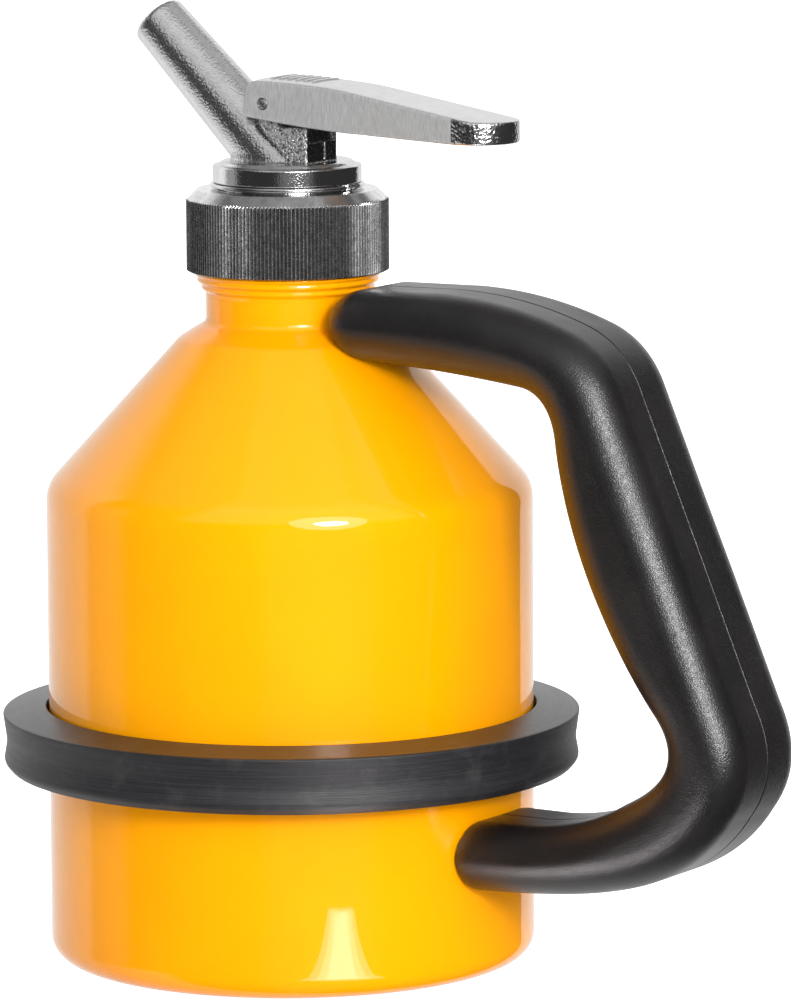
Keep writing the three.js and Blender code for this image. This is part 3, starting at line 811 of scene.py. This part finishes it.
def handle_halves():
    """The near half is cut from the whole, its edge at the seam is eased, and the far half mirrors it."""
    field = handle_field()
    rim_y = -(SEAM_HALF_GAP + SEAM_DEPTH)
    points, faces = surface_net(field, (10, -18, 18), (122, 1.2, 153), 0.74)
    half = bmesh.new()
    vertices = [half.verts.new(p) for p in points]
    for face in faces:
        half.faces.new([vertices[i] for i in face])
    everything = half.verts[:] + half.edges[:] + half.faces[:]
    seam = {"plane_co": (0, rim_y, 0), "plane_no": (0, 1, 0)}
    bmesh.ops.bisect_plane(half, geom=everything, clear_outer=True, **seam)
    bmesh.ops.remove_doubles(half, verts=half.verts[:], dist=0.02)
    last_inset = 0.0
    for height_left, inset in SEAM_EASE:
        edges = [e for e in half.edges if e.is_boundary]
        made = bmesh.ops.extrude_edge_only(half, edges=edges)["geom"]
        moved = [g for g in made if isinstance(g, bmesh.types.BMVert)]
        place = np.array([v.co for v in moved])
        at_rim = np.stack((place[:, 0], np.full(len(place), rim_y), place[:, 2]), -1)
        slope = slope_of(field, at_rim, 0.3) * (1, 0, 1)
        slope /= np.maximum(np.linalg.norm(slope, axis=1)[:, None], 1e-6)
        place -= slope * (inset - last_inset)
        last_inset = inset
        for vertex, spot in zip(moved, place):
            vertex.co = (spot[0], -(SEAM_HALF_GAP + height_left), spot[2])
    rim = [e for e in half.edges if e.is_boundary]
    bmesh.ops.triangle_fill(half, edges=rim, use_beauty=False)
    bmesh.ops.recalc_face_normals(half, faces=half.faces[:])
    half.verts.index_update()
    points = np.array([v.co for v in half.verts])
    faces = [[v.index for v in f.verts] for f in half.faces]
    half.free()
    crease = radians(50)
    near = make_mesh("handle_near_half", points, faces, crease)
    far = make_mesh("handle_far_half", points * (1, -1, 1), [f[::-1] for f in faces], crease)
    return near, far


# ---- Tap

SPOUT_END_R = 6.05
SPOUT_BORE_R = 4.2
DISC_R = 16.3
DISC_TOP_Z = 175.3
STEP_TOP_Z = 176.2
BLOCK_HALF_Y = 6.1
BLOCK_END_X = 9.1
BLOCK_TOP_Z = 184.0
TONGUE_R = 2.4
PIN = np.array((-1.0, 0.0, 189.0))
STEM_X = 4.6


def spout_place(p):
    """Distance of points along the spout's axis and off it."""
    along = (p - SPOUT_START) @ SPOUT_AXIS
    return along, np.sqrt(np.maximum(((p - SPOUT_START) ** 2).sum(-1) - along ** 2, 0))


def cast_field(p):
    """Spout, block and tongue, one casting that stands on the turned disc."""
    x, y, z = p[..., 0], p[..., 1], p[..., 2]
    along, off = spout_place(p)
    taper = (SPOUT_BASE_R - SPOUT_END_R) / SPOUT_LENGTH
    spout = meet(1.3, off - (SPOUT_BASE_R - taper * along), along - SPOUT_LENGTH)
    block = box_field(p, (-7.0, -BLOCK_HALF_Y, 170), (BLOCK_END_X, BLOCK_HALF_Y, BLOCK_TOP_Z), 0.45)
    pin_x, _, pin_z = PIN
    from_pin = np.hypot(x - pin_x, z - pin_z)
    tongue_low = (pin_x - TONGUE_R, -BLOCK_HALF_Y, 180)
    tongue = box_field(p, tongue_low, (pin_x + TONGUE_R, BLOCK_HALF_Y, pin_z), 0.3)
    head = meet(0.4, from_pin - TONGUE_R, np.abs(y) - BLOCK_HALF_Y)
    solid = join(0.5, join(0.3, block, np.minimum(tongue, head)), spout)
    base_fillet = join(0.9, solid, z - (STEP_TOP_Z - 0.35))
    skirt = np.hypot(x + 1.2, y) - 12.6
    solid = np.where(z < STEP_TOP_Z + 1.2, np.maximum(base_fillet, skirt), solid)
    bore = meet(0.2, off - SPOUT_BORE_R, 30.0 - along)
    mouth = (off - SPOUT_BORE_R - 0.9 + (SPOUT_LENGTH - along)) * 0.707
    gland = meet(0.2, np.hypot(x - STEM_X, y) - 2.9, 174.5 - z)
    end = BLOCK_END_X
    pocket = box_field(p, (end - 1.0, -5.0, 180.4), (end + 3, 5.0, BLOCK_TOP_Z + 3), 0.3)
    ridge = box_field(p, (end - 1, 0.6, 176), (end + 0.28, 1.15, 180.3), 0.2)
    solid = join(0.1, solid, ridge)
    for cut in (bore, np.maximum(mouth, 20 - along), gland, from_pin - 1.35, pocket):
        solid = meet(0.12, solid, -cut)
    return np.maximum(solid, STEP_TOP_Z - 0.9 - z)


def tap_casting():
    points, faces = surface_net(cast_field, (-42, -9, 174.5), (11.5, 9, 212), 0.4)
    piece = make_mesh("tap_casting", points, faces, radians(60))

    def choose(centres, normals):
        along, off = spout_place(centres)
        block = (off > SPOUT_BASE_R - 0.037 * along + 0.12) & (centres[:, 2] > STEP_TOP_Z + 0.2)
        # Faces at the block's end that face +X take the darker copy of the casting: painted shade.
        end = (normals[:, 0] > 0.8) & (centres[:, 0] > 7)
        return np.where(block, np.where(end, 2, 1), 0)

    share_out(piece, ("spout", "block", "end_shade"), choose)
    return piece


def tap_hub():
    spigot_r, spigot_bore, roof, bottom = 12.1, 10.8, 162.8, 158.0
    flange_r, flange_bottom, flange_top = 18.3, 163.5, 167.2
    neck_r, groove_r, groove_bottom, disc_bottom = 15.0, 14.4, 170.4, 171.5
    outline = [
        (0, roof), (spigot_bore, roof, 0.3), (spigot_bore, bottom, 0.2), (spigot_r, bottom, 0.3),
        (spigot_r, flange_bottom, 0.3), (flange_r, flange_bottom, 0.3), (flange_r, flange_top, 0.4),
        (neck_r, flange_top, 0.3), (neck_r, groove_bottom, 0.15), (groove_r, groove_bottom, 0.1),
        (groove_r, disc_bottom, 0.1), (DISC_R, disc_bottom, 0.35), (DISC_R, DISC_TOP_Z, 0.4),
        (15.0, DISC_TOP_Z + 0.12, 0.4), (14.25, STEP_TOP_Z, 0.7), (0, STEP_TOP_Z),
    ]
    return lathe("tap_hub", outline, 224)


def snap_ring():
    inner, outer, bottom, top = 14.55, 16.9, 170.5, 171.4
    middle, half, rise = (inner + outer) / 2, (outer - inner) / 2, (top - bottom) / 2
    angles = np.radians(np.linspace(12, 352, 170))
    path = [(middle * cos(a), middle * sin(a), (bottom + top) / 2) for a in angles]
    corners = [(half, -rise, 0.35), (half, rise, 0.35), (-half, rise, 0.2), (-half, -rise, 0.2)]
    return sweep("snap_ring_wire", path, rounded(corners, True))


NUT_TEETH = 164
KNURL_DEPTH = 0.42


def union_nut():
    bottom, top = span("union_nut")[0][2], span("union_nut")[1][2]
    chamfer, lip, hole, cavity_r, bore_r = 2.4, 167.5, 15.2, 18.7, 19.95
    flange_bottom = 163.5
    knurl_depths = [0.0, 0.1, 0.2, 0.3, 0.4, 0.6]
    top -= 0.3
    outline = [(bore_r, bottom, 0.2), (NUT_R - 1.2, bottom, 0.1)]
    outline += [(NUT_R - d, bottom + 0.35 - d * 0.58) for d in reversed(knurl_depths)]
    outline += [(NUT_R, z) for z in (bottom + 0.6, (bottom + top) / 2, top - chamfer - 0.2)]
    outline += [(NUT_R - d, top - chamfer + d) for d in knurl_depths]
    outline += [(NUT_R - chamfer, top, 0.15), (hole, top, 0.3), (hole, lip, 0.2)]
    outline += [(cavity_r, lip, 0.3), (cavity_r, flange_bottom - 0.5, 0.2)]
    rows = np.arange(flange_bottom - 1.3, bottom + 0.3, -THREAD_PITCH / 8)
    outline += [(bore_r, z) for z in rows]
    inner_thread = thread(bore_r + 0.55, bore_r, bottom + 0.2, flange_bottom - 1.1)

    def shape(base, height, angles):
        if abs(base - bore_r) < 1e-6:
            return inner_thread(base, height, angles)
        tooth = angles * NUT_TEETH / (2 * np.pi)
        wave = np.abs(2 * (tooth - np.floor(tooth)) - 1)
        uneven = 1 + 0.25 * np.sin(angles * 17) * np.sin(angles * 5)
        return np.minimum(base, NUT_R - KNURL_DEPTH * (1 - wave) * uneven)

    piece = lathe("union_nut_knurled", outline, NUT_TEETH * 4, shape=shape, crease=radians(24))

    def choose(centres, normals):
        outward = np.hypot(centres[:, 0], centres[:, 1])
        return (centres[:, 2] > top - chamfer + 0.25) & (outward > hole + 0.2)

    share_out(piece, ("nickel", "bright"), choose)
    return piece


# ---- Lever

LEVER_REAR_X = -6.2
LEVER_TIP_X = 49.5
LEVER_TIP_LENGTH = 8.3
LEVER_REAR_HALF_Y = 8.2
LEVER_TIP_HALF_Y = 8.9
LEVER_WALL = 1.6
LEVER_TOP = 1.7
LEVER_CROWN = 0.45
RIB_COUNT = 6
RIB_PITCH = 2.1


def lever_top_path():
    return line(
        (80, 185.4), ((60, 186.9),), ((51.9, 187.7),), ((38, 190.0), (20.1, 193.0)),
        ((10, 194.3), (-2.6, 194.35)), ((-5.4, 194.3), (-5.7, 191.2)), ((LEVER_REAR_X, 187.4),),
        ((-5.6, 176),),
    )


def lever_bottom_path():
    return line(
        (-20, 187.2), ((-5.0, 185.9),), ((8, 184.2), (20.1, 183.5)), ((47.4, 182.3),), ((80, 182.0),),
    )


def lever_plan_path():
    path = [(-20.0, LEVER_REAR_HALF_Y), (LEVER_TIP_X, LEVER_TIP_HALF_Y)]
    for angle in np.linspace(np.pi / 2, 0, 24)[1:]:
        x = LEVER_TIP_X + LEVER_TIP_LENGTH * cos(angle)
        path.append((x, LEVER_TIP_HALF_Y * sin(angle)))
    path.append((LEVER_TIP_X + LEVER_TIP_LENGTH, -3.0))
    return np.array(path)


def lever_field():
    low, high = (-14, 176), (64, 200)
    top = Chart(lever_top_path(), low, high, 0.25)
    bottom = Chart(lever_bottom_path(), low, high, 0.25)
    plan = Chart(lever_plan_path(), (-14, -2), (64, 14), 0.2)

    def field(p):
        x, y, z = p[..., 0], p[..., 1], p[..., 2]
        side = np.abs(y)
        fall = LEVER_CROWN * (side / LEVER_TIP_HALF_Y) ** 2
        outward = plan(x, side)
        above = -top(x, z + fall)
        below = -bottom(x, z)
        outer = meet(0.55, outward, above, below)
        inner = meet(0.6, outward + LEVER_WALL, above + LEVER_TOP)
        spout_room = box_field(p, (-20, -6.6, 170), (-4, 6.6, 191.8), 0.3)
        presser = box_field(p, (STEM_X - 1.2, -2.6, 188.35), (STEM_X + 1.2, 2.6, 193), 0.3)
        hole = np.hypot(x - PIN[0], z - PIN[2]) - 1.36
        solid = meet(0.25, meet(0.3, outer, -inner), -spout_room)
        solid = np.minimum(solid, meet(0.2, presser, above))
        return meet(0.15, solid, -hole)

    return field, top


def lever_height(chart, x, y):
    """Height of the lever's crowned top at a place, found by stepping down onto it."""
    z = np.full(np.shape(x), 200.0)
    fall = LEVER_CROWN * (np.abs(y) / LEVER_TIP_HALF_Y) ** 2
    for _ in range(24):
        z = z + chart(x, z + fall)
    return z


def lever():
    field, top = lever_field()
    points, faces = surface_net(field, (-7.5, -9.8, 181.2), (58.5, 9.8, 195), 0.33)
    piece = make_mesh("lever_casting", points, faces, radians(50))

    def choose(centres, normals):
        flank = np.abs(normals[:, 1]) > 0.5
        tip = (centres[:, 0] > LEVER_TIP_X - 2.2) & (np.abs(normals[:, 2]) < 0.8)
        return np.where(tip, 2, np.where(flank, 0, 1))

    share_out(piece, ("ground", "crown", "rim"), choose)
    return piece, top


def lever_ribs(top):
    """Grip ribs across the top of the lever, each a low arch that dies away at its ends."""
    half_width, height, half_y, sunk, first_x, arched = 0.5, 0.42, 5.2, 0.15, -0.4, 0.86
    across = np.linspace(-1, 1, 9)
    ends = np.linspace(-1, -arched, 5), np.linspace(arched, 1, 5)
    along = np.concatenate((ends[0], np.linspace(-0.8, 0.8, 15), ends[1]))
    size, last = len(across), len(along) - 1
    points, faces = [], []
    for k in range(RIB_COUNT):
        start = len(points)
        for v in along:
            past = max(0, abs(v) - arched) / (1 - arched)
            end = sqrt(max(0, 1 - past ** 2))
            for u in across:
                x, y = first_x + RIB_PITCH * k + half_width * u, half_y * v
                arch = sqrt(max(0, 1 - abs(u) ** 3)) * end
                foot = float(lever_height(top, np.array(x), np.array(y))) - sunk
                points.append((x, y, foot + (height + sunk) * arch))
        for i in range(last):
            for j in range(size - 1):
                a = start + i * size + j
                faces.append((a, a + 1, a + size + 1, a + size))
        rim = [start + j for j in range(size)]
        rim += [start + i * size + size - 1 for i in range(1, last + 1)]
        rim += [start + last * size + j for j in range(size - 2, -1, -1)]
        rim += [start + i * size for i in range(last - 1, 0, -1)]
        faces.append(tuple(reversed(rim)))
    return make_mesh("lever_grip_ribs", points, faces)


def lever_pin():
    """Cross pin with a domed, slightly dimpled end on each side."""
    half = span("lever_pin")[1][1]
    outline = [
        (0, -half + 0.2), (0.5, -half + 0.15, 0.2), (0.85, -half, 0.2), (1.2, -half + 0.2, 0.15),
        (1.2, half - 0.2, 0.15), (0.85, half, 0.2), (0.5, half - 0.15, 0.2), (0, half - 0.2),
    ]
    piece = lathe("lever_cross_pin", outline, 48)
    turn = Matrix.Rotation(-pi / 2, 4, "X")
    piece.data.transform(Matrix.Translation(Vector(PIN) * MM) @ turn)
    return piece


# ---- Valve and seals

STEM = (STEM_X, 0)
STEM_HOLE_R = 1.6


def valve_spring():
    bottom, top = span("valve_spring")[0][2], span("valve_spring")[1][2]
    mean_r, wire_r, turns = 2.2, 0.3, 5
    steps = 36 * turns
    path = []
    for i in range(steps + 1):
        share = i / steps
        angle = 2 * pi * turns * share
        lift = share - 0.045 * sin(2 * pi * share)
        z = bottom + wire_r + (top - bottom - 2 * wire_r) * lift
        path.append((STEM_X + mean_r * cos(angle), mean_r * sin(angle), z))
    return sweep("valve_spring_coil", path, circle(wire_r, 12))


def valve_stem():
    low, high = span("valve_stem")
    r, head_r, collar_r, head, collar = 1.5, 2.8, 2.4, 185.6, 162.55
    outline = [
        (0, low[2]), (r, low[2], 0.3), (r, collar, 0.1), (collar_r, collar, 0.15),
        (collar_r, collar + 1.05, 0.2), (r, collar + 1.05, 0.1), (r, head, 0.15),
        (head_r, head, 0.2), (head_r, head + 1.3, 0.5), (1.6, high[2] - 0.25, 0.8),
        (0.6, high[2], 0.4), (0, high[2]),
    ]
    return lathe("valve_stem_turned", outline, 64, STEM)


def washer(name, inner, outer, bottom, top, centre=STEM, ease=0.12, sides=96):
    corners = [(inner, bottom, ease), (outer, bottom, ease), (outer, top, ease), (inner, top, ease)]
    return lathe(name, corners, sides, centre)


def plate_nut():
    """Hexagon nut with its corners turned off at 30 degrees."""
    across, bottom, top, bore = 5.0, 158.4, 160.4, STEM_HOLE_R

    def shape(base, height, angles):
        flat = (angles + np.pi / 6) % (np.pi / 3) - np.pi / 6
        outside = base > bore + 0.2
        return np.minimum(base, across / 2 / np.cos(flat)) if outside else np.full(len(angles), base)

    corner = across / sqrt(3)
    outline = [
        (bore, bottom, 0.1), (across / 2 - 0.05, bottom), (corner, bottom + 0.35),
        (corner, top - 0.35), (across / 2 - 0.05, top), (bore, top, 0.1),
    ]
    return lathe("plate_nut_hexagon", outline, 96, STEM, shape)


def stem_seal():
    ring_r, wire_r, height = 2.22, 0.62, 175.3
    outline = circle(wire_r, 16) + (ring_r, height)
    return lathe("stem_seal_ring", outline, 64, STEM, closed=True)


def small_pieces():
    ring = stem_seal()
    bush = washer("gland_bush_turned", STEM_HOLE_R, 2.8, 176.2, 178.6)
    valve_seat = washer("valve_seat_ring", 4.0, 5.4, 162.5, 164.5)
    gasket = washer("neck_gasket_flat", 15.5, 18.3, COLLAR_TOP_Z, 163.5, (0, 0), 0.2, 160)
    plate = washer("valve_plate_disc", STEM_HOLE_R, 5.6, 160.4, 161.5)
    seal = washer("plate_seal_disc", STEM_HOLE_R, 5.2, 161.5, 162.5)
    dress(ring, "black", "tap", "black_seal", "stem_seal")
    dress(bush, "white", "tap", "white_seal", "gland_bush")
    dress(valve_seat, "white", "tap", "white_seal", "valve_seat")
    dress(gasket, "black", "tap", "black_seal", "neck_gasket")
    dress(plate, "steel", "valve", "plain_steel", "valve_plate")
    dress(seal, "black", "valve", "black_seal", "plate_seal")
    dress(plate_nut(), "steel", "valve", "plain_steel", "plate_nut")
    spring = dress(valve_spring(), "steel", "tap", "plain_steel", "valve_spring")
    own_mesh(spring)
    dress(valve_stem(), "steel", "valve", "plain_steel", "valve_stem")


# ---- Stage: a pale floor in soft studio light

FLOOR_SIZE = 14.0
BACK_LEFT = -109           # the white backdrop starts here, in degrees measured round from the camera
BACK_RIGHT = 140
LIGHTS_AIM = Vector((0.01, 0, 0.1))


def make_floor():
    """Pale floor that looks white and leaves no image of itself in what shines."""
    half = FLOOR_SIZE / 2 / MM
    corners = [(-half, -half, 0), (half, -half, 0), (half, half, 0), (-half, half, 0)]
    floor = make_mesh("floor", corners, [(0, 1, 2, 3)])
    floor.data.transform(Matrix.Translation((0, 0, -0.0002)))
    floor.visible_glossy = False
    s = Shader("pale_floor", Base_Color=grey(0.86), Roughness=0.9, Emission_Color=grey(1))
    s.drive("Emission Strength", s.add("ShaderNodeLightPath").outputs["Is Camera Ray"])
    floor.data.materials.append(s.material)


def make_world():
    """White all round for the eye and for soft light, and a dark front in what shines."""
    world = bpy.data.worlds.new("studio")
    bpy.context.scene.world = world
    world.use_nodes = True
    world.cycles.sampling_method = "NONE"
    tree = world.node_tree
    tree.nodes.clear()

    def add(kind, inputs=None, **settings):
        return add_node(tree, kind, inputs, **settings)

    def combine(operation, *values):
        total = values[0]
        for value in values[1:]:
            total = add("ShaderNodeMath", {0: total, 1: value}, operation=operation).outputs[0]
        return total

    def ramp(value, low, high, to_low=0.0, to_high=1.0):
        inputs = {0: value, 1: low, 2: high, 3: to_low, 4: to_high}
        return add("ShaderNodeMapRange", inputs, interpolation_type="SMOOTHSTEP").outputs[0]

    def window(value, start, stop, soft):
        rise = ramp(value, start - soft, start + soft)
        return combine("MULTIPLY", rise, ramp(value, stop - soft, stop + soft, 1.0, 0.0))

    direction = add("ShaderNodeTexCoord").outputs["Generated"]
    inputs = {"Vector": direction, "Angle": -CAMERA_TURN}
    turned = add("ShaderNodeVectorRotate", inputs, rotation_type="Z_AXIS").outputs[0]
    right, ahead, height = add("ShaderNodeSeparateXYZ", {0: turned}).outputs
    azimuth = combine("ARCTAN2", right, combine("MULTIPLY", ahead, -1.0))

    def sector(start, stop, soft):
        """Azimuths between two angles in degrees, with soft edges."""
        return window(azimuth, radians(start), radians(stop), radians(soft))

    def edge(start, stop, to_low, to_high):
        return ramp(azimuth, radians(start), radians(stop), to_low, to_high)

    left_edge = edge(BACK_LEFT - 7, BACK_LEFT + 5, 1.0, 0.0)
    right_edge = edge(BACK_RIGHT - 1.2, BACK_RIGHT + 1.2, 0.0, 1.0)
    sides = combine("ADD", left_edge, right_edge)
    backdrop = combine("MULTIPLY", sides, ramp(height, 0.56, 0.74, 1.0, 0.0))
    left_wall = combine("MULTIPLY", sector(-115, -86, 6), ramp(height, 0.3, 0.55, 1.0, 0.0), 0.34)
    low_left = combine("MULTIPLY", sector(-120, -62, 8), ramp(height, -0.2, -0.32), 0.75)
    front_glow = combine("MULTIPLY", sector(-12, 38, 9), ramp(height, 0.05, 0.2, 1.0, 0.0), 0.14)
    front_panel = combine("MULTIPLY", sector(-53, 62, 9), window(height, 0.3, 0.94, 0.1), 0.55)
    ceiling = combine("MULTIPLY", ramp(height, 0.6, 0.86), 0.22)
    right_top = combine("MULTIPLY", sector(72, 150, 12), window(height, 0.64, 0.95, 0.07), 0.26)
    brightest = combine("MAXIMUM", backdrop, combine("MAXIMUM", left_wall, low_left))
    shine = combine("ADD", brightest, 0.035, front_glow, front_panel, ceiling, right_top)
    path = add("ShaderNodeLightPath").outputs
    glossy = {0: path["Is Glossy Ray"], 2: 0.65, 3: shine}
    glossy = add("ShaderNodeMix", glossy, data_type="FLOAT").outputs[0]
    strength = {0: path["Is Camera Ray"], 2: glossy, 3: 1.06}
    strength = add("ShaderNodeMix", strength, data_type="FLOAT").outputs[0]
    background = add("ShaderNodeBackground", {"Color": (1, 1, 1, 1), "Strength": strength})
    tree.links.new(background.outputs[0], add("ShaderNodeOutputWorld").inputs[0])


def toward(azimuth, elevation=0.0):
    """Direction from the can. Azimuth is measured round from the camera, positive to its right."""
    turn, rise = CAMERA_TURN + radians(azimuth), radians(elevation)
    return Vector((sin(turn) * cos(rise), -cos(turn) * cos(rise), sin(rise)))


def area_light(name, width, height, power):
    light = bpy.data.lights.new(name, "AREA")
    light.shape = "RECTANGLE"
    light.size, light.size_y = width, height
    light.energy = power
    lamp = bpy.data.objects.new(name, light)
    bpy.context.scene.collection.objects.link(lamp)
    lamp.rotation_mode = "QUATERNION"
    return lamp


def soft_box(name, azimuth, elevation, distance, width, height, power):
    """Soft box that faces the can."""
    box = area_light(name, width, height, power)
    away = toward(azimuth, elevation)
    box.location = LIGHTS_AIM + away * distance
    box.rotation_quaternion = away.to_track_quat("Z", "Y")
    return box


def low_card():
    """Small bright card on the floor before the can, fading at its edges, seen only in its gloss."""
    along = toward(22.4)
    across = Vector((-along.y, along.x, 0))
    axes = Matrix((across, along, across.cross(along))).transposed()
    middle = toward(11.2) * 0.0535 + along * 0.0515
    for layer in range(3):
        width, length = 0.012 + 0.007 * layer, 0.076 + 0.005 * layer
        card = area_light("low_card", width, length, 3.2 * pi * width * length)
        card.data.color = (1.0, 0.92, 0.94)
        card.location = middle + Vector((0, 0, 0.0004 + 0.0001 * layer))
        card.rotation_quaternion = axes.to_quaternion()
        card.visible_diffuse = False
        card.visible_camera = False


def make_lights():
    core = soft_box("key_core", 19, 17, 1.5, 0.42, 0.34, 13)
    core.data.shape = "ELLIPSE"
    surround = soft_box("key_box", 18, 20, 1.55, 1.0, 1.0, 9)
    surround.data.shape = "ELLIPSE"
    soft_box("right_wash", 60, 30, 1.8, 1.2, 1.2, 7).visible_glossy = False
    low_card()


# ---- The can, piece by piece

make_camera()
make_world()
make_floor()
make_lights()

dress(upper_shell(), "paint", "can", "body_paint", "upper_shell")
dress(lower_shell(), "paint", "can", "body_paint", "lower_shell")
dress(neck_collar(), "paint", "can", "body_paint", "neck_collar")
dress(bumper_ring(), "rubber", "can", "bumper_rubber", "bumper_ring")

near_half, far_half = handle_halves()
dress(near_half, "plastic", "can", "handle_plastic", "handle_left_half")
dress(far_half, "plastic", "can", "handle_plastic", "handle_right_half")

dress(tap_casting(), None, "tap", "tap_casting", "tap_body")
dress(tap_hub(), "chrome", "tap", "tap_casting", "tap_body")
dress(snap_ring(), "plated", "tap", "ring_plated", "snap_ring")
dress(union_nut(), None, "nut", "nut_nickel", "union_nut")

lever_piece, lever_top = lever()
dress(lever_piece, None, "lever", "lever_casting", "lever")
dress(lever_ribs(lever_top), "crown", "lever", "lever_casting")
dress(lever_pin(), "steel", "lever", "plain_steel", "lever_pin")

small_pieces()

for name in ("handle_rod", "upper_handle_pad", "lower_handle_pad"):
    repaint(name, "steel")
for name in ("arrester_cage", "arrester_end_cap"):
    repaint(name, "perforated")
repaint("arrester_gauze", "gauze")

bpy.context.scene.view_settings.view_transform = "Standard"
